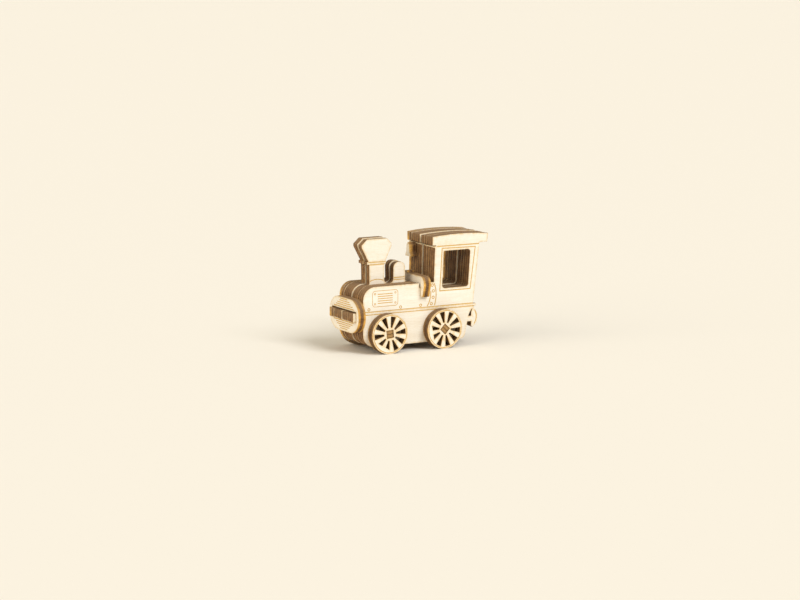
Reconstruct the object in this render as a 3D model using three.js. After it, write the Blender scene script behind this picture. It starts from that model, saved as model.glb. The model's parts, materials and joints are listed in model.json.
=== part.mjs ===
// A little steam engine that is put together from laser-cut plywood: twelve upright layers
// side by side, a face plate, a saddle, a bell and two wheelsets on square axles.
//
// Millimetres. X runs from the front of the engine (-X) to the rear, Y from its left side
// (-Y) to its right side, and Z is up. The outlines are drawn with x = 0 at the front edge
// of the boiler and z = 0 on the ground; the engine group then puts the origin on the
// ground, under the middle of the bounding box.

import * as THREE from 'three';

// Plywood and layers
const PLY = 2.0;
const LAYER_COUNT = 12;
const CHIMNEY_LAYERS = [5, 6, 7, 8];
const BODY_HALF_WIDTH = (LAYER_COUNT * PLY) / 2;
const ARC_TOLERANCE = 0.1;

// Wheels and axles
const WHEEL_RADIUS = 9.85;
const WHEEL_GAP = 0.3;
const WHEEL_SHEET_GAP = 0.6;
const WHEEL_SEGMENTS = 40;
const SPOKE_COUNT = 10;
const OPENING_INNER_RADIUS = 3.3;
const OPENING_OUTER_RADIUS = 8.7;
const OPENING_INNER_HALF_ANGLE = THREE.MathUtils.degToRad(7.0);
const OPENING_OUTER_HALF_ANGLE = THREE.MathUtils.degToRad(9.3);
const BALANCE_SPOKE_ANGLE = THREE.MathUtils.degToRad(234);
const BALANCE_CHORD_DISTANCE = 6.9;
const AXLE_SIDE = 3.5;
const AXLE_GLUE_GAP = 0.1;
const AXLE_FIT = 0.2;
const AXLE_HOLE_RADIUS = 3.2;
const FRONT_AXLE_X = 12.4;
const FRONT_AXLE_TURN = THREE.MathUtils.degToRad(-6);
const REAR_AXLE_X = 43.5;
const REAR_AXLE_TURN = THREE.MathUtils.degToRad(43);

// Chassis, boiler and cab
const CHASSIS_BOTTOM = 3.3;
const CHASSIS_REAR = 57.6;
const BOILER_TOP = 32.9;
const BOILER_CORNER = 6.4;
const BOARD_BOTTOM = 19.1;
const BOARD_TOP = 20.5;
const BOARD_TIP = 64.0;
const CAB_FRONT_BOTTOM = 39.8;
const CAB_FRONT_TOP = 40.4;
const CAB_REAR_BOTTOM = 62.5;
const CAB_REAR_TOP = 66.0;
const ROOF_FRONT = 39.0;
const ROOF_REAR = 71.0;
const ROOF_BOTTOM = 51.0;
const ROOF_TOP = 55.3;
const ROOF_RISE = 0.8;
const ROOF_STEPS = 6;

// Tabs, face plate, saddle and bell
const TAB_REACH = 5.6;
const TAB_BOTTOM = 16.3;
const TAB_TOP = 20.7;
const FACE_CENTRE = 18.5;
const FACE_HALF_HEIGHT = 8.3;
const FACE_HALF_WIDTH = 14.8;
const FACE_FLAT_HALF_WIDTH = 6.3;
const FACE_STEPS = 10;
const SLIDE_FIT = 0.2;
const SADDLE_FRONT = 32.1;
const SADDLE_SEAT = 30.7;
const SEAT_ROOM_IN_FRONT = 0.6;
const SADDLE_TOP = 36.3;
const SADDLE_TIP = 26.0;
const SADDLE_LUG = [0.8, 2.4];
const SADDLE_LUG_TOP = 37.6;
const BELL_BACK = 39.9;
const BELL_CENTRE = 6.6;
const BELL_BOTTOM = 43.7;

const ENGINE_LENGTH = TAB_REACH + ROOF_REAR;
const BOILER_FRONT = TAB_REACH - ENGINE_LENGTH / 2;

const BIRCH = '#f3e6c8';
const PALE_BIRCH = '#f7edd6';
const SCORCHED = '#8a6440';

// Geometry helpers

function arcSteps(radius, angle) {
  const longestStep = 2 * Math.acos(1 - Math.min(ARC_TOLERANCE / radius, 1));
  return Math.max(2, Math.ceil(angle / longestStep));
}

// Points of one corner [x, z, radius] of an outline, rounded to its radius.
function cornerPoints(corners, index) {
  const [x, z, radius = 0] = corners[index];
  const corner = new THREE.Vector2(x, z);
  if (radius === 0) return [corner];
  const before = new THREE.Vector2(...corners.at(index - 1).slice(0, 2));
  const after = new THREE.Vector2(...corners[(index + 1) % corners.length].slice(0, 2));
  const toBefore = before.sub(corner).normalize();
  const toAfter = after.sub(corner).normalize();
  const halfAngle = Math.acos(toBefore.dot(toAfter)) / 2;
  const middle = toBefore.clone().add(toAfter).normalize();
  const centre = corner.clone().addScaledVector(middle, radius / Math.sin(halfAngle));
  const start = corner.clone().addScaledVector(toBefore, radius / Math.tan(halfAngle));
  const turn = (Math.PI - 2 * halfAngle) * -Math.sign(toBefore.cross(toAfter));
  const steps = arcSteps(radius, Math.abs(turn));
  return Array.from({ length: steps + 1 }, (_, k) =>
    start.clone().rotateAround(centre, (turn * k) / steps));
}

function roundedOutline(corners) {
  return corners.flatMap((_, index) => cornerPoints(corners, index));
}

function circlePoints(x, z, radius, count) {
  return Array.from({ length: count }, (_, k) => {
    const angle = (2 * Math.PI * k) / count;
    return new THREE.Vector2(x + radius * Math.cos(angle), z + radius * Math.sin(angle));
  });
}

function cutSheet(outline, holes, thickness) {
  const shape = new THREE.Shape(outline);
  shape.holes = holes.map((points) => new THREE.Path(points));
  return new THREE.ExtrudeGeometry(shape, { depth: thickness, bevelEnabled: false });
}

// A sheet whose outline is drawn in X and Z. It fills y = 0 to y = thickness.
function lengthwiseSheet(outline, holes, thickness) {
  const toEngine = new THREE.Matrix4().makeBasis(
    new THREE.Vector3(1, 0, 0),
    new THREE.Vector3(0, 0, 1),
    new THREE.Vector3(0, -1, 0));
  return cutSheet(outline, holes, thickness).applyMatrix4(toEngine).translate(0, thickness, 0);
}

// A sheet whose outline is drawn in Y and Z. It fills x = 0 to x = thickness.
function crosswiseSheet(outline, holes, thickness) {
  const toEngine = new THREE.Matrix4().makeBasis(
    new THREE.Vector3(0, 1, 0),
    new THREE.Vector3(0, 0, 1),
    new THREE.Vector3(1, 0, 0));
  return cutSheet(outline, holes, thickness).applyMatrix4(toEngine);
}

function addPiece(group, name, geometry, colour, position) {
  const material = new THREE.MeshStandardMaterial({ color: colour, roughness: 0.75, metalness: 0 });
  const mesh = new THREE.Mesh(geometry, material);
  mesh.name = name;
  mesh.position.set(...position);
  group.add(mesh);
}

// Upright layers

// From the end of the running board down round the coupling plate to the chassis.
function rearCorners() {
  return [
    [CHASSIS_REAR - 0.1, CHASSIS_BOTTOM, 2.6],
    [59.3, 11.6],
    [61.5, 11.6],
    [61.5, 9.2],
    [62.2, 8.6],
    [65.0, 11.2, 2.4],
    [65.0, 15.6, 2.5],
    [63.0, 18.3],
    [62.7, BOARD_BOTTOM],
    [BOARD_TIP, BOARD_BOTTOM],
    [BOARD_TIP, BOARD_TOP],
    [CAB_REAR_BOTTOM, BOARD_TOP],
  ];
}

function roofPoints() {
  const across = ROOF_REAR - ROOF_FRONT;
  return Array.from({ length: ROOF_STEPS + 1 }, (_, k) => {
    const part = k / ROOF_STEPS;
    const rise = 4 * ROOF_RISE * part * (1 - part);
    return [ROOF_REAR - across * part, ROOF_TOP + rise];
  });
}

// The roof overhangs the cab, with a thin gap over a lip at the top of the front wall.
function cabCorners() {
  return [
    [CAB_REAR_TOP, ROOF_BOTTOM],
    [ROOF_REAR - 0.6, ROOF_BOTTOM],
    ...roofPoints(),
    [ROOF_FRONT, ROOF_BOTTOM],
    [41.0, ROOF_BOTTOM],
    [41.0, ROOF_BOTTOM - 0.5],
    [40.0, ROOF_BOTTOM - 0.5],
    [40.0, ROOF_BOTTOM - 1.1],
    [CAB_FRONT_TOP, ROOF_BOTTOM - 1.3],
    [CAB_FRONT_BOTTOM, BOILER_TOP],
  ];
}

function saddleSeatCorners() {
  const rear = SADDLE_FRONT + 2 * PLY + SLIDE_FIT;
  const front = SADDLE_FRONT - SEAT_ROOM_IN_FRONT;
  return [
    [rear, BOILER_TOP],
    [rear, SADDLE_SEAT],
    [front, SADDLE_SEAT],
    [front, BOILER_TOP],
  ];
}

function chimneyAndDomeCorners() {
  return [
    [28.2, BOILER_TOP],
    [28.2, 43.2, 3.2],
    [21.3, 43.2, 3.2],
    [21.3, BOILER_TOP, 2.0],
    [16.4, BOILER_TOP, 2.0],
    [16.4, 42.5],
    [17.4, 42.5],
    [17.4, 44.1],
    [17.2, 44.3],
    [20.5, 51.2],
    [20.5, 52.5],
    [17.8, 55.3],
    [6.6, 55.3],
    [3.5, 52.5],
    [3.5, 51.2],
    [7.2, 44.3],
    [6.5, 44.1],
    [6.5, 42.5],
    [7.8, 42.5],
    [7.8, BOILER_TOP, 0.6],
  ];
}

function frontCorners() {
  return [
    [0, BOILER_TOP, BOILER_CORNER],
    [0, TAB_TOP],
    [-TAB_REACH, TAB_TOP],
    [-TAB_REACH, TAB_BOTTOM],
    [0, TAB_BOTTOM],
    [0, CHASSIS_BOTTOM, BOILER_CORNER],
  ];
}

function layerOutline(hasChimney) {
  return roundedOutline([
    ...rearCorners(),
    ...cabCorners(),
    ...saddleSeatCorners(),
    ...(hasChimney ? chimneyAndDomeCorners() : []),
    ...frontCorners(),
  ]);
}

function windowOutline() {
  return roundedOutline([
    [44.5, 29.4, 1.6],
    [59.5, 29.4, 1.4],
    [60.7, 48.0, 1.4],
    [45.4, 48.0, 0.7],
  ]);
}

function couplingOpening() {
  return roundedOutline([
    [59.8, 14.3],
    [61.5, 14.3],
    [61.6, 16.4],
    [62.2, 18.2],
    [60.9, 16.6],
  ]);
}

function layerHoles() {
  return [
    windowOutline(),
    couplingOpening(),
    circlePoints(FRONT_AXLE_X, WHEEL_RADIUS, AXLE_HOLE_RADIUS, 12),
    circlePoints(REAR_AXLE_X, WHEEL_RADIUS, AXLE_HOLE_RADIUS, 12),
  ];
}

function layerName(number) {
  if (number === 1) return 'side_plate_left';
  if (number === LAYER_COUNT) return 'side_plate_right';
  return CHIMNEY_LAYERS.includes(number) ? `chimney_layer_${number}` : `body_layer_${number}`;
}

function addLayers(engine) {
  for (let number = 1; number <= LAYER_COUNT; number += 1) {
    const outline = layerOutline(CHIMNEY_LAYERS.includes(number));
    const sheet = lengthwiseSheet(outline, layerHoles(), PLY);
    const left = (number - 1) * PLY - BODY_HALF_WIDTH;
    const isOutside = number === 1 || number === LAYER_COUNT;
    addPiece(engine, layerName(number), sheet, isOutside ? PALE_BIRCH : SCORCHED, [0, left, 0]);
  }
}

// Face plate: flat above and below, with half an ellipse at each end, slotted for the tabs

function facePlateOutline() {
  const reach = FACE_HALF_WIDTH - FACE_FLAT_HALF_WIDTH;
  const endPoints = (side) => Array.from({ length: FACE_STEPS + 1 }, (_, k) => {
    const angle = side * ((Math.PI * k) / FACE_STEPS - Math.PI / 2);
    const y = side * (FACE_FLAT_HALF_WIDTH + reach * Math.cos(angle));
    return new THREE.Vector2(y, FACE_CENTRE + side * FACE_HALF_HEIGHT * Math.sin(side * angle));
  });
  return [...endPoints(1), ...endPoints(-1)];
}

function facePlateSlot() {
  const halfWidth = BODY_HALF_WIDTH + SLIDE_FIT;
  return [
    new THREE.Vector2(-halfWidth, TAB_BOTTOM - 0.1),
    new THREE.Vector2(halfWidth, TAB_BOTTOM - 0.1),
    new THREE.Vector2(halfWidth, TAB_TOP + 0.5),
    new THREE.Vector2(-halfWidth, TAB_TOP + 0.5),
  ];
}

function addFacePlates(engine) {
  const sheet = () => crosswiseSheet(facePlateOutline(), [facePlateSlot()], PLY);
  addPiece(engine, 'face_plate_front', sheet(), BIRCH, [-2 * PLY, 0, 0]);
  addPiece(engine, 'face_plate_back', sheet(), BIRCH, [-PLY, 0, 0]);
}

// Saddle: an upside-down U that rests on the layers and reaches down both side plates

function saddleHalf(side) {
  const inside = BODY_HALF_WIDTH + SLIDE_FIT;
  return [
    [side * inside, SADDLE_SEAT],
    [side * inside, SADDLE_TIP],
    [side * 14.0, SADDLE_TIP, 1.2],
    [side * 15.4, 31.5],
    [side * 15.4, SADDLE_TOP, 3.4],
  ];
}

function addSaddle(engine) {
  const [lugLeft, lugRight] = SADDLE_LUG;
  const outline = roundedOutline([
    ...saddleHalf(1),
    [lugRight, SADDLE_TOP],
    [lugRight, SADDLE_LUG_TOP, 0.4],
    [lugLeft, SADDLE_LUG_TOP, 0.4],
    [lugLeft, SADDLE_TOP],
    ...saddleHalf(-1).reverse(),
  ]);
  const sheet = () => crosswiseSheet(outline, [], PLY);
  addPiece(engine, 'saddle_front', sheet(), BIRCH, [SADDLE_FRONT, 0, 0]);
  addPiece(engine, 'saddle_back', sheet(), BIRCH, [SADDLE_FRONT + PLY, 0, 0]);
}

// Bell: two sheets against the cab's front wall, under the roof, right of the middle

function bellOutline() {
  const half = (side) => [
    [side * 2.5, 0],
    [side * 2.5, 0.7],
    [side * 1.5, 2.2, 1.0],
    [side * 1.3, 6.0, 0.8],
    [side * 0.5, 6.2],
    [side * 0.5, 6.9],
  ];
  return roundedOutline([...half(1), ...half(-1).reverse()]);
}

function addBell(engine) {
  const sheet = () => crosswiseSheet(bellOutline(), [], PLY);
  addPiece(engine, 'bell_front', sheet(), BIRCH, [BELL_BACK - 2 * PLY, BELL_CENTRE, BELL_BOTTOM]);
  addPiece(engine, 'bell_back', sheet(), BIRCH, [BELL_BACK - PLY, BELL_CENTRE, BELL_BOTTOM]);
}

// Wheels and axles, drawn about the axle's own centre line

function wheelOpening(angle) {
  const towards = (radius, turn) => {
    const spread = angle + turn;
    const offBalance = Math.cos(spread - BALANCE_SPOKE_ANGLE);
    const chord = offBalance > 0 ? BALANCE_CHORD_DISTANCE / offBalance : Infinity;
    const reach = Math.min(radius, chord);
    return new THREE.Vector2(reach * Math.cos(spread), reach * Math.sin(spread));
  };
  return [
    towards(OPENING_INNER_RADIUS, -OPENING_INNER_HALF_ANGLE),
    towards(OPENING_OUTER_RADIUS, -OPENING_OUTER_HALF_ANGLE),
    towards(OPENING_OUTER_RADIUS, 0),
    towards(OPENING_OUTER_RADIUS, OPENING_OUTER_HALF_ANGLE),
    towards(OPENING_INNER_RADIUS, OPENING_INNER_HALF_ANGLE),
  ];
}

function wheelSheet() {
  const half = AXLE_SIDE / 2 + AXLE_FIT;
  const hub = roundedOutline([[-half, -half], [half, -half], [half, half], [-half, half]]);
  const sector = (2 * Math.PI) / SPOKE_COUNT;
  const firstOpening = BALANCE_SPOKE_ANGLE + sector / 2;
  const openings = Array.from({ length: SPOKE_COUNT }, (_, k) => wheelOpening(firstOpening + sector * k));
  const rim = circlePoints(0, 0, WHEEL_RADIUS, WHEEL_SEGMENTS);
  return lengthwiseSheet(rim, [hub, ...openings], PLY);
}

function addWheel(wheelset, name, side) {
  const innerFace = BODY_HALF_WIDTH + WHEEL_GAP;
  for (const [ply, inside] of [['inner', innerFace], ['outer', innerFace + PLY + WHEEL_SHEET_GAP]]) {
    const left = side > 0 ? inside : -inside - PLY;
    addPiece(wheelset, `${name}_${ply}`, wheelSheet(), PALE_BIRCH, [0, left, 0]);
  }
}

function addAxle(wheelset, name) {
  const length = 2 * (BODY_HALF_WIDTH + WHEEL_GAP + 2 * PLY + WHEEL_SHEET_GAP);
  const thickness = (AXLE_SIDE - AXLE_GLUE_GAP) / 2;
  for (const [strip, side] of [['upper', 1], ['lower', -1]]) {
    const bar = new THREE.BoxGeometry(AXLE_SIDE, length, thickness);
    const height = (side * (AXLE_GLUE_GAP + thickness)) / 2;
    addPiece(wheelset, `${name}_${strip}_strip`, bar, SCORCHED, [0, 0, height]);
  }
}

function addWheelset(engine, name, x, turn) {
  const wheelset = new THREE.Group();
  wheelset.position.set(x, 0, WHEEL_RADIUS);
  wheelset.rotation.y = turn;
  addWheel(wheelset, `${name}_left_wheel`, -1);
  addWheel(wheelset, `${name}_right_wheel`, 1);
  addAxle(wheelset, `${name}_axle`);
  engine.add(wheelset);
}

const engine = new THREE.Group();
engine.position.x = BOILER_FRONT;
addLayers(engine);
addFacePlates(engine);
addSaddle(engine);
addBell(engine);
addWheelset(engine, 'front', FRONT_AXLE_X, FRONT_AXLE_TURN);
addWheelset(engine, 'rear', REAR_AXLE_X, REAR_AXLE_TURN);

export default engine;
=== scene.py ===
"""Looks for the layered plywood steam engine.

Every sheet is cut again along its CAD outline, with smooth arcs, a fine chamfer, scorched
edges and real engraved grooves. Drawing sizes are in millimetres; the meshes are in metres.
"""

import json
import math
import random

import bmesh
import bpy
import numpy as np
from mathutils import Matrix, Vector
from mathutils.geometry import delaunay_2d_cdt


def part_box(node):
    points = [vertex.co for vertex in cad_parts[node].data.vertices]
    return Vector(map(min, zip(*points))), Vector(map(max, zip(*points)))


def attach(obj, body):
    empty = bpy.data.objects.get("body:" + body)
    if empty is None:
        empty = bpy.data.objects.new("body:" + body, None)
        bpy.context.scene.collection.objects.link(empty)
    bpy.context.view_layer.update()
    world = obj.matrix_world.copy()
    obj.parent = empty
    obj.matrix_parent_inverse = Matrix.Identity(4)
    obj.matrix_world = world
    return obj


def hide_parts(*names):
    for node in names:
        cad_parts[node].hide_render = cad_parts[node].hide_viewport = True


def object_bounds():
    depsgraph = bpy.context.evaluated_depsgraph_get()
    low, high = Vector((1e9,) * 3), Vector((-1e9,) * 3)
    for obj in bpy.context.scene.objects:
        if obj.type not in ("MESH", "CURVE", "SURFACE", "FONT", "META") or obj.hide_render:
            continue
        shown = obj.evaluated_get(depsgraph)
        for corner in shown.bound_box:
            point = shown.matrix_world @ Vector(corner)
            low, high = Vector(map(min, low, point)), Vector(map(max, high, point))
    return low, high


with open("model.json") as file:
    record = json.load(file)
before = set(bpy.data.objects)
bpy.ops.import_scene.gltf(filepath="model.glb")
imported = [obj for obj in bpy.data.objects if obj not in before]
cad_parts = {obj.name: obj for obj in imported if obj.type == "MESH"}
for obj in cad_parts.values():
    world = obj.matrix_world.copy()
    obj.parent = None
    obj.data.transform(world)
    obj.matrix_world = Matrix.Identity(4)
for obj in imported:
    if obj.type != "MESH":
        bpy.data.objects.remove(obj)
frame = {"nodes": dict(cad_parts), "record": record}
cad_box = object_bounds()

MM = 0.001
UP = Vector((0, 0, 1))
LEFT = Vector((0, -1, 0))
RIGHT = Vector((0, 1, 0))
FRONT = Vector((-1, 0, 0))
REAR = Vector((1, 0, 0))

# The front edge of the boiler, behind the tabs that reach through the face plate
TAB_REACH = 5.6
BOILER_FRONT = cad_box[0].x / MM + TAB_REACH

# Cutting
SHEET = 2.0
CHAMFER = 0.05
SHEET_GAP = 0.03
STRIP_SETBACK = 0.15
SHORTEST_CHORD = 0.02
ARC_STEP = math.radians(5)
GENTLE_TURN = math.radians(50)
SHARP_ANGLE = math.radians(30)
SCORCH_RINGS = (0.3, 1.0)
SCORCH_REACH = 1.5
SCORCH_SPACING = 0.8
SCORCH_CLEARANCE = 0.93

# Engraving
BOLD_LINE = 0.52
LINE = 0.42
FINE_LINE = 0.3
ENGRAVE_DEPTH = 0.12
WHEEL_LINE_INSET = 0.62
HATCH_ROWS = 5
HATCH_PITCH = 1.0
HATCH_MARGIN = 0.85
HATCH_WIDTH = 0.5
HATCH_SWING = 0.06
HATCH_LAG = 0.5
WIDEST_HATCH = 10.2
NARROWEST_HATCH = 3.8

# Painted shade: the dark colour painted over upward-facing cut edges, how strongly it covers them, and how
# bright a face painted dark as if in shadow stays
PAINTED_TOP_SHADE = (0.24, 0.15, 0.08)
PAINTED_TOP_SHADE_COVER = 0.85
PAINTED_SHADE_BRIGHTNESS = 0.3

# Material slots of a sheet
FACE_SLOT, EDGE_SLOT, GROOVE_SLOT = 0, 1, 2

# How far each layer's edges stand back, and the gap on its right, from left to right
LAYER_INSET = (0, 0.10, 0.16, 0.08, 0.13, 0.42, 0, 0.12, 0.18, 0.26, 0.1, 0)
LAYER_GAP = (0.14, 0.03, 0.08, 0.06, 0.08, 0.55, 0.03, 0.15, 0.05, 0.36, 0.2, 0)
# How far each layer leans to the right at the chimney and at the cab, and where the lean starts
CHIMNEY_LEAN = (0, 0, 0, 0, 0.1, 0.4, 0.5, 0.8, 0.55, 0.5, 0.3, 0.25)
CAB_LEAN = (0, 0, 0, 0, 0.4, 0.45, 0.75, 0.85, 1.0, 1.15, 1.3, 1.4)
LEAN_FROM = 22.0
LEAN_HEIGHT = 20.0
CAB_LEAN_FROM = 33.0
CAB_LEAN_LENGTH = 9.0


# Outlines of the CAD sheets

def signed_area(loop):
    return sum(a[0] * b[1] - b[0] * a[1] for a, b in zip(loop, loop[1:] + loop[:1])) / 2


def cad_sheet(node, out):
    """Loops of the sheet's face that looks along out, outside first, and the sheet's front and back."""
    across = UP.cross(out)
    mesh = frame["nodes"][node].data
    corners = [(v.co.dot(across) / MM, v.co.z / MM, v.co.dot(out) / MM) for v in mesh.vertices]
    front = max(corner[2] for corner in corners)
    back = min(corner[2] for corner in corners)
    edges = {}
    for face in mesh.polygons:
        if min(corners[i][2] for i in face.vertices) > front - 0.01:
            keys = [(round(corners[i][0], 3), round(corners[i][1], 3)) for i in face.vertices]
            edges.update(((a, b), None) for a, b in zip(keys, keys[1:] + keys[:1]))
    following = {a: b for a, b in edges if (b, a) not in edges}
    loops = []
    while following:
        start, point = following.popitem()
        loop = [start]
        while point != start:
            loop.append(point)
            point = following.pop(point)
        loops.append([Vector(p) for p in loop])
    loops.sort(key=signed_area, reverse=True)
    return loops, front, back


def arc_tangent(points, edges, is_arc, turns, i, edge):
    """Direction of the curve at point i for a chord, or None at a sharp corner."""
    other = i - 1 if edge == i else i
    if abs(turns[i]) > GENTLE_TURN:
        return None
    if not is_arc[other]:
        return edges[other].normalized()
    before, after = edges[i - 1], edges[i]
    return (before.normalized() * after.length + after.normalized() * before.length).normalized()


def refined(points):
    """The loop with the chords of its arcs bent back into arcs."""
    count = len(points)
    edges = [points[(i + 1) % count] - points[i] for i in range(count)]
    turns = [-edges[i - 1].angle_signed(edges[i]) for i in range(count)]

    def bends(i, a, b):
        ratio = edges[a].length / edges[b].length
        return math.radians(0.5) < abs(turns[i]) < GENTLE_TURN and 0.5 < ratio < 2

    is_arc = [bends(i, i, i - 1) or bends((i + 1) % count, i, (i + 1) % count) for i in range(count)]
    smooth = []
    for i, chord in enumerate(edges):
        smooth.append(points[i])
        if not is_arc[i]:
            continue
        along = chord.normalized()
        start = arc_tangent(points, edges, is_arc, turns, i, i)
        end = arc_tangent(points, edges, is_arc, turns, (i + 1) % count, i)
        if start is None and end is None:
            continue
        start = start or (2 * along.dot(end) * along - end)
        end = end or (2 * along.dot(start) * along - start)
        sweep = abs(start.angle_signed(end))
        steps = max(1, math.ceil(sweep / ARC_STEP))
        if steps == 1:
            continue
        reach = chord.length * 2 * math.tan(sweep / 4) / math.sin(sweep / 2)
        for k in range(1, steps):
            t = k / steps
            smooth.append(
                points[i] * (2 * t**3 - 3 * t**2 + 1)
                + start * reach * (t**3 - 2 * t**2 + t)
                + points[(i + 1) % count] * (3 * t**2 - 2 * t**3)
                + end * reach * (t**3 - t**2)
            )
    return [p for i, p in enumerate(smooth) if (p - smooth[i - 1]).length > SHORTEST_CHORD]


def inset(loop, distance):
    """The loop moved into the wood, which is on its left."""
    moved = []
    for i, point in enumerate(loop):
        before = (point - loop[i - 1]).normalized()
        after = (loop[(i + 1) % len(loop)] - point).normalized()
        normals = Vector((-before.y, before.x)), Vector((-after.y, after.x))
        mitre = (normals[0] + normals[1]) / max(1 + normals[0].dot(normals[1]), 0.2)
        moved.append(point + mitre * distance)
    return moved


# Drawing

def line(*points, width=LINE):
    return [Vector(p) for p in points], width, False


def closed_line(points, width=LINE):
    return [Vector(p) for p in points], width, True


def circle(x, z, radius, width=FINE_LINE, steps=24):
    angles = [2 * math.pi * k / steps for k in range(steps)]
    return closed_line([(x + radius * math.cos(a), z + radius * math.sin(a)) for a in angles], width)


def curve(start, through, end, width=LINE, steps=14):
    """A parabola from start to end that passes through the middle point half-way."""
    start, through, end = Vector(start), Vector(through), Vector(end)
    handle = 2 * through - (start + end) / 2
    return line(*(
        start * (1 - t) ** 2 + handle * 2 * t * (1 - t) + end * t**2
        for t in (k / steps for k in range(steps + 1))
    ), width=width)


def wavy_line(start, end, z, swing, width=FINE_LINE, waves=1.6):
    steps = max(4, round((end - start) * 1.5))
    return line(*(
        (start + (end - start) * k / steps, z + swing * math.sin(waves * (start + (end - start) * k / steps)))
        for k in range(steps + 1)
    ), width=width)


def stroke_faces(points, width, closed):
    """Quads side by side along a drawn line."""
    count = len(points)
    sides = []
    for i, point in enumerate(points):
        before = point - points[i - 1] if closed or i > 0 else points[1] - point
        after = points[(i + 1) % count] - point if closed or i < count - 1 else before
        before, after = before.normalized(), after.normalized()
        normal = Vector((-before.y - after.y, before.x + after.x)) / (1 + before.dot(after))
        sides.append((point + normal * width / 2, point - normal * width / 2))
    pairs = zip(sides, sides[1:] + sides[:1] if closed else sides[1:])
    return [[right, next_right, next_left, left] for (left, right), (next_left, next_right) in pairs]


# Sheets

def halo_points(rings, segments):
    """Points a little inside the edges, where the scorching fades."""
    starts, ends = segments
    found = []
    for ring in rings:
        along = 0
        for i, point in enumerate(ring):
            step = ring[(i + 1) % len(ring)] - point
            if step.length < 1e-6:
                continue
            normal = Vector((-step.y, step.x)).normalized()
            while along < step.length:
                base = point + step * (along / step.length)
                for reach in SCORCH_RINGS:
                    candidate = base + normal * reach
                    if edge_distance(candidate, starts, ends) > SCORCH_CLEARANCE * reach:
                        found.append(candidate)
                along += SCORCH_SPACING
            along -= step.length
    return found


def share_between(value, start, length):
    """0 up to start, 1 from start + length, and an even climb between them."""
    return min(max((value - start) / length, 0), 1)


def edge_distance(point, starts, ends):
    spans = ends - starts
    offsets = np.array(point) - starts
    share = np.clip((offsets * spans).sum(1) / np.maximum((spans**2).sum(1), 1e-12), 0, 1)
    return float(np.sqrt(((offsets - spans * share[:, None]) ** 2).sum(1)).min())


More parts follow.
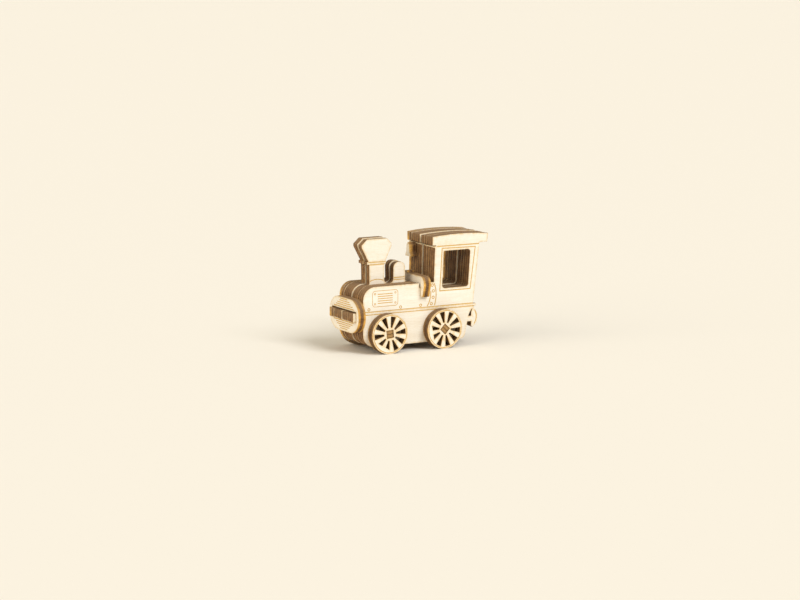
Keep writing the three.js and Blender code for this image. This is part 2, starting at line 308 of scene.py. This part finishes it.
def sheet_object(
    name, out, loops, front, back, drawing=(), lean=(0, 0), grain_turn=0.0, grain_seed=0, bare=()
):
    """A sheet with its drawing engraved in the face that looks along out.

    lean is how far the sheet leans to the right at the chimney and at the cab, and bare lists
    places (u, v, reach) where the edge is broken wood instead of a scorched cut.
    """
    across = UP.cross(out)
    rings = [inset(loop, CHAMFER) for loop in loops]
    points = [p for ring in rings for p in ring]
    faces = []
    for ring in rings:
        first = sum(len(face) for face in faces)
        faces.append(list(range(first, first + len(ring))))
    ring_ids = [list(face) for face in faces]
    faces[1:] = [face[::-1] for face in faces[1:]]
    hole_count = len(rings) - 1
    for stroke in drawing:
        for quad in stroke_faces(*stroke):
            if signed_area(quad) < 0:
                quad.reverse()
            faces.append(list(range(len(points), len(points) + 4)))
            points.extend(quad)
    starts = np.array([p for ring in rings for p in ring])
    ends = np.array([p for ring in rings for p in ring[1:] + ring[:1]])
    points.extend(halo_points(rings, (starts, ends)))
    flat, _, triangles, sources, _, within = delaunay_2d_cdt(points, [], faces, 0, 1e-5)
    output_of = {source: i for i, group in enumerate(sources) for source in group}

    bm = bmesh.new()
    scorch = bm.verts.layers.float.new("scorch")
    painted_top_shade = bm.verts.layers.float.new("painted_top_shade")
    drawn_place = bm.loops.layers.uv.new("sheet")
    made = {}
    rng = random.Random(grain_seed)
    shift = Vector((rng.uniform(0, 200), rng.uniform(0, 200)))
    turn = Matrix.Rotation(grain_turn, 2)

    def place(u, v, w):
        point = across * u + UP * v + out * w
        rise = share_between(v, LEAN_FROM, LEAN_HEIGHT)
        rearward = share_between(point.x - BOILER_FRONT, CAB_LEAN_FROM, CAB_LEAN_LENGTH)
        return (point + RIGHT * rise * (lean[0] + (lean[1] - lean[0]) * rearward)) * MM

    def vertex(kind, i, depth):
        if (kind, i) not in made:
            made[kind, i] = bm.verts.new(place(*flat[i], depth))
            near = 1 - edge_distance(flat[i], starts, ends) / SCORCH_REACH
            made[kind, i][scorch] = max(near, 0) ** 2
        return made[kind, i]

    def add_face(corners, marks, material):
        if len(set(corners)) < len(corners):
            return
        face = bm.faces.new(corners)
        face.material_index = material
        face.smooth = True
        for corner, mark in zip(face.loops, marks):
            corner[drawn_place].uv = mark

    def grain(i):
        return turn @ flat[i] + shift

    kept = {}
    for triangle, ids in zip(triangles, within):
        if 0 in ids and not any(0 < i <= hole_count for i in ids):
            kept[tuple(triangle)] = any(i > hole_count for i in ids)
    owner = {}
    for triangle, engraved in kept.items():
        marks = [grain(i) for i in triangle]
        if engraved:
            add_face([vertex("floor", i, front - ENGRAVE_DEPTH) for i in triangle], marks, GROOVE_SLOT)
        else:
            add_face([vertex("front", i, front) for i in triangle], marks, FACE_SLOT)
        back_corners = [vertex("back", i, back) for i in reversed(triangle)]
        add_face(back_corners, marks[::-1], FACE_SLOT)
        for a, b in zip(triangle, triangle[1:] + triangle[:1]):
            owner[a, b] = engraved
    for (a, b), engraved in owner.items():
        if engraved and owner.get((b, a)) is False:
            top = vertex("front", b, front), vertex("front", a, front)
            floor = vertex("floor", a, front - ENGRAVE_DEPTH), vertex("floor", b, front - ENGRAVE_DEPTH)
            add_face([*floor, *top], [grain(a), grain(b), grain(b), grain(a)], GROOVE_SLOT)

    for loop, ids in zip(loops, ring_ids):
        levels = [0, CHAMFER, front - back - CHAMFER, front - back]
        walls = [[vertex("front", output_of[i], front) for i in ids]]
        for level in levels[1:3]:
            walls.append([bm.verts.new(place(*p, front - level)) for p in loop])
            for corner, before, after in zip(walls[-1], loop[-1:] + loop[:-1], loop[1:] + loop[:1]):
                corner[scorch] = 1
                # Painted shade: each wall corner gets a weight that grows as the wall faces upward, and that
                # weight darkens the cut edge there
                corner[painted_top_shade] = max((before - after).normalized().x, 0)
        walls.append([vertex("back", output_of[i], back) for i in ids])
        travelled = 0.0
        for k, point in enumerate(loop):
            following = (k + 1) % len(loop)
            reached = travelled + (loop[following] - point).length
            middle = (point + loop[following]) / 2
            is_bare = any((middle - Vector((u, v))).length < reach for u, v, reach in bare)
            for upper, lower, top, bottom in zip(walls, walls[1:], levels, levels[1:]):
                marks = [(travelled, top), (travelled, bottom), (reached, bottom), (reached, top)]
                marks = [(u + shift.x, v) for u, v in marks]
                corners = [upper[k], lower[k], lower[following], upper[following]]
                add_face(corners, marks, FACE_SLOT if is_bare else EDGE_SLOT)
            travelled = reached

    mesh = bpy.data.meshes.new(name)
    bm.to_mesh(mesh)
    bm.free()
    mesh.set_sharp_from_angle(angle=SHARP_ANGLE)
    piece = bpy.data.objects.new(name, mesh)
    bpy.context.scene.collection.objects.link(piece)
    return piece


# Drawings of the engraving, in the sheets' own planes

def side_plate_drawing():
    """Lines of the left side plate, with x = 0 at the front edge of the boiler."""
    board = [line((0.5, z), (63.2, z)) for z in (19.3, 20.7)]
    rivets = [circle(x, 21.9, 0.6, LINE) for x in (3.2, 20.9, 32.3)]
    band = [
        curve((36.0, 21.2), (37.5, 24.2), (38.1, 28.4), BOLD_LINE),
        curve((40.2, 21.2), (41.1, 27.0), (40.0, 32.2), BOLD_LINE),
        *(circle(x, z, 0.62, LINE) for x, z in ((38.4, 22.2), (39.4, 25.3), (39.5, 28.5), (38.9, 31.4))),
    ]
    window_frame = [closed_line([(43.2, 28.2), (60.7, 28.1), (63.5, 49.0), (44.4, 49.3)], BOLD_LINE)]
    under_roof = [line((41.5, 50.4), (65.6, 50.4), width=BOLD_LINE)]
    coupling = [curve((63.6, 17.0), (64.4, 13.4), (63.2, 10.4), BOLD_LINE)]
    return board + rivets + band + window_frame + under_roof + coupling + boiler_panel()


def rounded_rectangle(left, right, bottom, top, corner):
    points = []
    for x, z, start in (
        (right - corner, bottom + corner, -90), (right - corner, top - corner, 0),
        (left + corner, top - corner, 90), (left + corner, bottom + corner, 180),
    ):
        angles = [math.radians(start + 15 * k) for k in range(7)]
        points += [(x + corner * math.cos(a), z + corner * math.sin(a)) for a in angles]
    return points


def boiler_panel():
    """An access panel with a screw in each corner and five long louvres, on the side of the boiler."""
    left, right, bottom, top = 5.2, 19.4, 23.0, 30.8
    louvres = [line((left + 2.9, z), (right - 2.9, z)) for z in (bottom + 1.7 + 1.1 * k for k in range(5))]
    screws = [
        circle(x, z, 0.4)
        for x in (left + 1.4, right - 1.4) for z in (bottom + 1.4, top - 1.4)
    ]
    return [closed_line(rounded_rectangle(left, right, bottom, top, 1.5), FINE_LINE), *louvres, *screws]


def chimney_drawing():
    foot = [curve((8.3, 34.4), (12.1, 35.2), (15.9, 34.4))]
    collar = [line((6.9, 42.5), (17.0, 42.5)), line((7.3, 43.7), (17.0, 43.7))]
    dome = [line((21.7, z), (27.8, z)) for z in (34.3, 35.3)]
    return foot + collar + dome


def face_plate_drawing(slot_bottom, slot_top):
    """Hatching that narrows away from the slot, above and below it."""
    hatching = []
    for k in range(HATCH_ROWS):
        half_width = WIDEST_HATCH - (WIDEST_HATCH - NARROWEST_HATCH) * k / (HATCH_ROWS - 1)
        lag = HATCH_LAG * (k % 2)
        start = lag - half_width
        end = lag + half_width - HATCH_LAG
        reach = HATCH_MARGIN + HATCH_PITCH * k
        for z in (slot_top + reach, slot_bottom - reach):
            hatching.append(wavy_line(start, end, z, HATCH_SWING, HATCH_WIDTH))
    return hatching


def wheel_drawing(x, z, radius):
    return [circle(x, z, radius - WHEEL_LINE_INSET, LINE, steps=96)]


# Materials

def new_material(name):
    material = bpy.data.materials.new(name)
    material.use_nodes = True
    tree = material.node_tree
    return material, tree, tree.nodes["Principled BSDF"]


def add_node(tree, kind, settings=None, **sockets):
    node = tree.nodes.new(kind)
    for key, value in (settings or {}).items():
        setattr(node, key, value)
    for key, value in sockets.items():
        socket = node.inputs[key.replace("_", " ")]
        if isinstance(value, bpy.types.NodeSocket):
            tree.links.new(value, socket)
        else:
            socket.default_value = value
    return node


def noise(tree, scale, detail=3.0):
    """Noise over the drawn place on the sheet, with its own number of waves per millimetre each way."""
    place = add_node(tree, "ShaderNodeUVMap", {"uv_map": "sheet"})
    stretched = add_node(tree, "ShaderNodeVectorMath", {"operation": "MULTIPLY"})
    tree.links.new(place.outputs[0], stretched.inputs[0])
    stretched.inputs[1].default_value = (*scale, 1)
    texture = add_node(tree, "ShaderNodeTexNoise", {"noise_dimensions": "2D"},
                       Vector=stretched.outputs[0], Scale=1.0, Detail=detail, Roughness=0.6)
    return texture.outputs["Factor" if "Factor" in texture.outputs else "Fac"]


def ramp(tree, factor, *stops):
    node = add_node(tree, "ShaderNodeValToRGB", Fac=factor)
    elements = node.color_ramp.elements
    while len(elements) < len(stops):
        elements.new(0.5)
    for element, (position, colour) in zip(elements, stops):
        element.position = position
        element.color = (*colour, 1) if isinstance(colour, tuple) else (colour, colour, colour, 1)
    return node.outputs["Color"]


def mix(tree, factor, first, second, blend="MIX"):
    node = tree.nodes.new("ShaderNodeMix")
    node.data_type = "RGBA"
    node.blend_type = blend
    for socket, value in ((node.inputs[0], factor), (node.inputs[6], first), (node.inputs[7], second)):
        if isinstance(value, bpy.types.NodeSocket):
            tree.links.new(value, socket)
        else:
            socket.default_value = (*value, 1) if isinstance(value, tuple) else value
    return node.outputs[2]


def math_node(tree, operation, first, second):
    node = add_node(tree, "ShaderNodeMath", {"operation": operation})
    for socket, value in zip(node.inputs, (first, second)):
        if isinstance(value, bpy.types.NodeSocket):
            tree.links.new(value, socket)
        else:
            socket.default_value = value
    return node.outputs[0]


def add_bump(tree, shader, height, distance):
    bump = add_node(tree, "ShaderNodeBump", Strength=0.6, Distance=distance * MM, Height=height)
    tree.links.new(bump.outputs[0], shader.inputs["Normal"])


def veneer_material(name, shade_brightness=1.0):
    """Pale basswood face: long fine grain, small pores and laser scorch stains along the cuts.

    The second argument multiplies the brightness of the wood, so a low value is painted shade: a face made
    dark because it sits in shadow.
    """
    material, tree, shader = new_material(name)
    figure = noise(tree, (0.03, 0.3), 4)
    fibres = noise(tree, (0.12, 3.2), 5)
    pores = noise(tree, (0.5, 9.0), 2)
    colour = ramp(tree, figure, (0.3, (0.86, 0.80, 0.70)), (0.7, (0.91, 0.87, 0.79)))
    fibre_tint = ramp(tree, fibres, (0.3, (0.95, 0.93, 0.90)), (0.6, (1.0, 1.0, 1.0)))
    colour = mix(tree, 1.0, colour, fibre_tint, "MULTIPLY")
    pore_tint = ramp(tree, pores, (0.26, (0.86, 0.80, 0.70)), (0.36, (1.0, 1.0, 1.0)))
    colour = mix(tree, 1.0, colour, pore_tint, "MULTIPLY")
    stain = add_node(tree, "ShaderNodeAttribute", {"attribute_name": "scorch"}).outputs["Fac"]
    patches = ramp(tree, noise(tree, (0.5, 0.5), 3), (0.3, 0.2), (0.7, 0.9))
    stain = math_node(tree, "MULTIPLY", stain, patches)
    colour = mix(tree, stain, colour, (0.70, 0.47, 0.15))
    # Painted shade: the whole face is multiplied darker, as if it lay in shadow
    if shade_brightness < 1:
        colour = mix(tree, 1.0, colour, (shade_brightness, shade_brightness * 0.8, shade_brightness * 0.6), "MULTIPLY")
    tree.links.new(colour, shader.inputs["Base Color"])
    roughness = ramp(tree, fibres, (0.3, 0.72), (0.7, 0.55))
    tree.links.new(roughness, shader.inputs["Roughness"])
    shader.inputs["Specular IOR Level"].default_value = 0.3
    add_bump(tree, shader, fibres, 0.05)
    return material


def cut_edge_material(name, streak, *stops):
    """Laser-cut edge: streaks run through the thickness, and the plies lie across v = 0 to 2 mm."""
    material, tree, shader = new_material(name)
    place = add_node(tree, "ShaderNodeUVMap", {"uv_map": "sheet"})
    across = add_node(tree, "ShaderNodeSeparateXYZ")
    tree.links.new(place.outputs[0], across.inputs[0])
    share = math_node(tree, "DIVIDE", across.outputs["Y"], SHEET)
    waver = math_node(tree, "MULTIPLY", math_node(tree, "SUBTRACT", noise(tree, (0.6, 0.2), 2), 0.5), 0.25)
    plies = ramp(tree, math_node(tree, "ADD", share, waver), *stops)
    fine_streaks = noise(tree, (5.0, 0.12), 4)
    streaks = ramp(tree, fine_streaks, (0.28, (streak, streak, streak)), (0.66, (1.45, 1.4, 1.35)))
    burns = ramp(tree, noise(tree, (0.22, 0.05), 3), (0.3, (0.6, 0.55, 0.5)), (0.7, (1.25, 1.25, 1.25)))
    colour = mix(tree, 1.0, plies, streaks, "MULTIPLY")
    colour = mix(tree, 1.0, colour, burns, "MULTIPLY")
    # Painted shade: upward-facing cut edges are mixed towards a dark shade colour
    painted_top_shade = add_node(tree, "ShaderNodeAttribute", {"attribute_name": "painted_top_shade"}).outputs["Fac"]
    colour = mix(tree, math_node(tree, "MULTIPLY", painted_top_shade, PAINTED_TOP_SHADE_COVER), colour, PAINTED_TOP_SHADE)
    tree.links.new(colour, shader.inputs["Base Color"])
    roughness = ramp(tree, noise(tree, (3.0, 0.5), 3), (0.3, 0.85), (0.7, 0.6))
    tree.links.new(roughness, shader.inputs["Roughness"])
    shader.inputs["Specular IOR Level"].default_value = 0.25
    add_bump(tree, shader, noise(tree, (5.0, 0.3), 4), 0.12)
    return material


def strip_end_material():
    """End of an axle strip: golden wood inside a charred border."""
    material, tree, shader = new_material("strip_end")
    fibres = noise(tree, (1.2, 6.0), 4)
    colour = ramp(tree, fibres, (0.3, (0.30, 0.165, 0.06)), (0.7, (0.52, 0.31, 0.12)))
    scorch = add_node(tree, "ShaderNodeAttribute", {"attribute_name": "scorch"}).outputs["Fac"]
    colour = mix(tree, ramp(tree, scorch, (0.6, 0.0), (0.95, 1.0)), colour, (0.07, 0.042, 0.024))
    tree.links.new(colour, shader.inputs["Base Color"])
    tree.links.new(ramp(tree, fibres, (0.3, 0.85), (0.7, 0.65)), shader.inputs["Roughness"])
    shader.inputs["Specular IOR Level"].default_value = 0.25
    add_bump(tree, shader, fibres, 0.08)
    return material


def engraving_material():
    material, tree, shader = new_material("engraved_line")
    burn = noise(tree, (2.2, 2.2), 3)
    colour = ramp(tree, burn, (0.3, (0.56, 0.35, 0.08)), (0.7, (0.76, 0.51, 0.16)))
    tree.links.new(colour, shader.inputs["Base Color"])
    tree.links.new(ramp(tree, burn, (0.3, 0.9), (0.7, 0.75)), shader.inputs["Roughness"])
    shader.inputs["Specular IOR Level"].default_value = 0.2
    add_bump(tree, shader, burn, 0.05)
    return material


FACE = veneer_material("basswood_face")
# A face painted dark, as painted shade, for sheets that sit in shadow
PAINTED_SHADE_FACE = veneer_material("painted_shade_face", PAINTED_SHADE_BRIGHTNESS)
GROOVE = engraving_material()
LAYER_EDGE = cut_edge_material(
    "layer_edge", 0.45,
    (0.20, (0.34, 0.190, 0.075)), (0.34, (0.16, 0.090, 0.042)),
    (0.64, (0.16, 0.090, 0.042)), (0.80, (0.25, 0.140, 0.060)))
CROSS_EDGE = cut_edge_material(
    "cross_edge", 0.65,
    (0.10, (0.62, 0.37, 0.09)), (0.50, (0.48, 0.25, 0.05)), (0.66, (0.14, 0.075, 0.035)))
WHEEL_EDGE = cut_edge_material(
    "wheel_edge", 0.55,
    (0.14, (0.62, 0.36, 0.085)), (0.26, (0.17, 0.095, 0.040)),
    (0.70, (0.17, 0.095, 0.040)), (0.82, (0.10, 0.050, 0.020)))
GOLDEN_EDGE = cut_edge_material(
    "golden_edge", 0.7,
    (0.22, (0.75, 0.50, 0.18)), (0.40, (0.62, 0.37, 0.10)),
    (0.66, (0.62, 0.37, 0.10)), (0.85, (0.40, 0.22, 0.07)))
STRIP_END = strip_end_material()


# Pieces

BODY_OF = {node: body for body, nodes in frame["record"]["behaviour"]["bodies"].items() for node in nodes}
SLOT_OF = {row["node"]: row["material_slot"] for row in frame["record"]["subparts"]}
LAYERS = sorted(
    (node for node, slot in SLOT_OF.items() if slot == "layer_ply"), key=lambda node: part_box(node)[0].y)
MIDDLE = len(LAYERS) // 2
BARE_LIP = ((40.5, 50.6, 0.6), (40.1, 50.2, 0.5))
BELL_LEAN = (0.4, 0.4)


def moved(drawing, dx, mirror=1):
    """The drawing in the plane of a sheet: its x measured from the boiler's front, then mirrored if asked."""
    return [
        ([Vector((mirror * (p.x + dx), p.y)) for p in points], width, closed)
        for points, width, closed in drawing
    ]


def finish_piece(piece, node, *materials):
    for material in materials:
        piece.data.materials.append(material)
    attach(piece, BODY_OF[node])
    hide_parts(node)


def add_layer(number, node):
    out = RIGHT if node == LAYERS[-1] else LEFT
    loops, front, back = cad_sheet(node, out)
    loops = [inset(refined(loop), LAYER_INSET[number]) for loop in loops]
    if out == LEFT:
        back += LAYER_GAP[number]
    drawing = []
    if node in (LAYERS[0], LAYERS[-1]):
        drawing = moved(side_plate_drawing(), BOILER_FRONT, 1 if out == LEFT else -1)
    elif number == MIDDLE - 2:
        drawing = moved(chimney_drawing(), BOILER_FRONT)
    bare = [(BOILER_FRONT + x if out == LEFT else -BOILER_FRONT - x, z, reach) for x, z, reach in BARE_LIP]
    lean = (CHIMNEY_LEAN[number], CAB_LEAN[number])
    piece = sheet_object(f"{node}_wood", out, loops, front, back, drawing, lean, 0, number, bare)
    finish_piece(piece, node, FACE, GOLDEN_EDGE if node == LAYERS[-1] else LAYER_EDGE, GROOVE)


def add_plate(node, out, drawing=(), grain_turn=0.0, seed=0, lean=(0, 0), edge=CROSS_EDGE, face=FACE):
    loops, front, back = cad_sheet(node, out)
    loops = [refined(loop) for loop in loops]
    piece = sheet_object(f"{node}_wood", out, loops, front, back + SHEET_GAP, drawing, lean, grain_turn, seed)
    finish_piece(piece, node, face, edge, GROOVE)


def add_wheels(axle, seed):
    for side, out in (("left", LEFT), ("right", RIGHT)):
        low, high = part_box(f"{axle}_{side}_wheel_outer")
        radius = (high.z - low.z) / 2 / MM
        x = UP.cross(out).x * (low.x + high.x) / 2 / MM
        drawing = wheel_drawing(x, (low.z + high.z) / 2 / MM, radius)
        add_plate(f"{axle}_{side}_wheel_outer", out, drawing, seed * 0.7, seed, edge=WHEEL_EDGE)
        # The inner wheel sheets get the face painted dark, as painted shade behind the wheels
        add_plate(f"{axle}_{side}_wheel_inner", -out, (), seed, seed + 1, edge=WHEEL_EDGE, face=PAINTED_SHADE_FACE)


def add_strip(node, seed):
    loops, front, back = cad_sheet(node, LEFT)
    front -= STRIP_SETBACK
    back += STRIP_SETBACK
    piece = sheet_object(f"{node}_wood", LEFT, loops, front, back, grain_seed=seed)
    finish_piece(piece, node, STRIP_END, WHEEL_EDGE, GROOVE)


for number, node in enumerate(LAYERS):
    add_layer(number, node)

slot_heights = sorted(p.y for p in cad_sheet("face_plate_front", FRONT)[0][1])
add_plate("face_plate_front", FRONT, face_plate_drawing(slot_heights[0], slot_heights[-1]), 0, 21)
add_plate("face_plate_back", REAR, (), 0, 22)
add_plate("saddle_front", FRONT, (), 0, 23)
add_plate("saddle_back", REAR, (), 0, 24)
add_plate("bell_front", FRONT, (), math.pi / 2, 25, BELL_LEAN, GOLDEN_EDGE)
add_plate("bell_back", REAR, (), math.pi / 2, 26, BELL_LEAN, LAYER_EDGE)
for axle, seed in (("front", 31), ("rear", 37)):
    add_wheels(axle, seed)
    add_strip(f"{axle}_axle_upper_strip", seed + 3)
    add_strip(f"{axle}_axle_lower_strip", seed + 4)


# Floor, light and camera

def add_floor():
    bpy.ops.mesh.primitive_plane_add(size=20)
    floor = bpy.context.object
    floor.name = "floor"
    material, _, shader = new_material("pale_floor")
    shader.inputs["Base Color"].default_value = (0.84, 0.81, 0.75, 1)
    shader.inputs["Roughness"].default_value = 0.9
    shader.inputs["Specular IOR Level"].default_value = 0.1
    floor.data.materials.append(material)


def add_sun(name, towards, strength, softness, colour):
    light = bpy.data.lights.new(name, "SUN")
    light.energy = strength
    light.angle = math.radians(softness)
    light.color = colour
    lamp = bpy.data.objects.new(name, light)
    lamp.rotation_euler = Vector(towards).to_track_quat("Z", "Y").to_euler()
    bpy.context.scene.collection.objects.link(lamp)


def add_world():
    world = bpy.data.worlds.new("studio")
    world.use_nodes = True
    background = world.node_tree.nodes["Background"]
    background.inputs["Color"].default_value = (0.95, 0.88, 0.74, 1)
    background.inputs["Strength"].default_value = 0.56
    bpy.context.scene.world = world


def add_camera():
    azimuth, elevation, roll = math.radians(-29.9), math.radians(9.3), math.radians(0.24)
    distance = 1.2367
    target = Vector((-0.0052, 0, 0.02315))
    back = Vector((
        math.sin(azimuth) * math.cos(elevation),
        -math.cos(azimuth) * math.cos(elevation),
        math.sin(elevation),
    ))
    data = bpy.data.cameras.new("camera")
    data.lens = 112.5
    data.sensor_width = 36
    data.clip_start = 0.01
    camera = bpy.data.objects.new("camera", data)
    camera.matrix_world = (
        Matrix.Translation(target + back * distance)
        @ back.to_track_quat("Z", "Y").to_matrix().to_4x4()
        @ Matrix.Rotation(roll, 4, "Z")
    )
    bpy.context.scene.collection.objects.link(camera)
    bpy.context.scene.camera = camera


add_floor()
add_sun("key", (0.3, -0.85, 0.85), 2.1, 30, (1.0, 1.0, 0.99))
add_sun("fill", (-0.95, -0.1, 0.45), 1.3, 50, (1.0, 0.91, 0.75))
add_world()
add_camera()
bpy.context.scene.view_settings.view_transform = "Standard"
